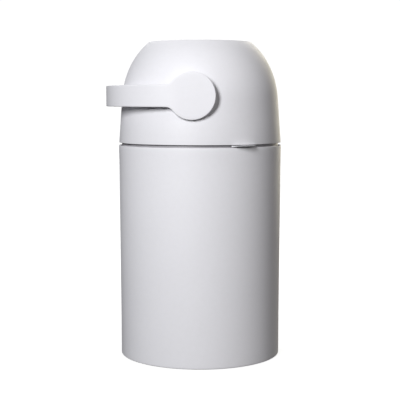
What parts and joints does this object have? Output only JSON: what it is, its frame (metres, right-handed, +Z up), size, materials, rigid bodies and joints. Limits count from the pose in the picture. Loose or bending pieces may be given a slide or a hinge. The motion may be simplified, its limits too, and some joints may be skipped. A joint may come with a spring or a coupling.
{
  "type": "nappy bin",
  "caption": "Tall round nappy bin with a domed head, a bail handle that turns an inner drum, a sliding piston, and a hinged head with a release tab.",
  "frame": {"origin": "centre of the round base, on the floor plane", "axes": "+Z up along the bucket's axis; the drum and its two hub discs turn about Y, with the front disc at -Y; the bail handle rests towards -X"},
  "size_m": [0.2988, 0.284, 0.534],
  "materials": {
    "shell_white": "satin injection-moulded polypropylene, white",
    "inner_white": "satin moulded plastic, white, lightly scuffed by use",
    "collar_grey": "matt moulded plastic, mid grey",
    "seal_grey": "soft silicone, pale grey",
    "foot_rubber": "matt rubber, dark grey",
    "acetal": "machined-looking acetal, off-white",
    "steel": "zinc-plated steel"
  },
  "bodies": {
    "bucket": {"bucket_shell": "shell_white", "foot_ring": "foot_rubber", "neck_ring": "collar_grey", "bag_ring": "inner_white", "hinge_bracket": "shell_white", "hinge_pin": "steel", "bracket_screws": "steel"},
    "head": {"dome_shell": "shell_white", "top_funnel": "shell_white", "upper_seal": "seal_grey", "head_base": "inner_white", "lower_seal": "seal_grey", "bag_seal": "seal_grey", "deck_screws": "steel", "hinge_leaf": "shell_white", "leaf_screws": "steel", "front_bush": "acetal", "rear_bush": "acetal", "latch_spring": "steel"},
    "drum": {"drum_upper_half": "inner_white", "drum_lower_half": "inner_white", "front_trunnion": "acetal", "rear_trunnion": "acetal", "drum_screws": "steel", "handle": "shell_white", "handle_screws": "steel"},
    "piston": {"piston_upper_face": "inner_white", "piston_lower_face": "inner_white", "piston_weight": "steel", "piston_wiper": "seal_grey"},
    "tab": {"release_tab": "shell_white"}
  },
  "joints": [
    {"name": "head_tilt", "type": "hinge", "parent": "bucket", "child": "head", "pos_m": [-0.08536, 0.11535, 0.3622], "axis": [-0.8039, -0.5948, 0], "range_deg": [0, 80]},
    {"name": "handle_flip", "type": "hinge", "parent": "head", "child": "drum", "pos_m": [0, 0, 0.443], "axis": [0, 1, 0], "range_deg": [0, 180]},
    {"name": "piston_slide", "type": "slide", "parent": "drum", "child": "piston", "axis": [0, 0, 1], "range_m": [0, 0.0919]},
    {"name": "tab_press", "type": "slide", "parent": "head", "child": "tab", "axis": [-0.5948, 0.8039, 0], "range_m": [0, 0.004], "stiffness_N_per_m": 1200, "springref_m": -0.002, "deforming": ["latch_spring"]}
  ]
}
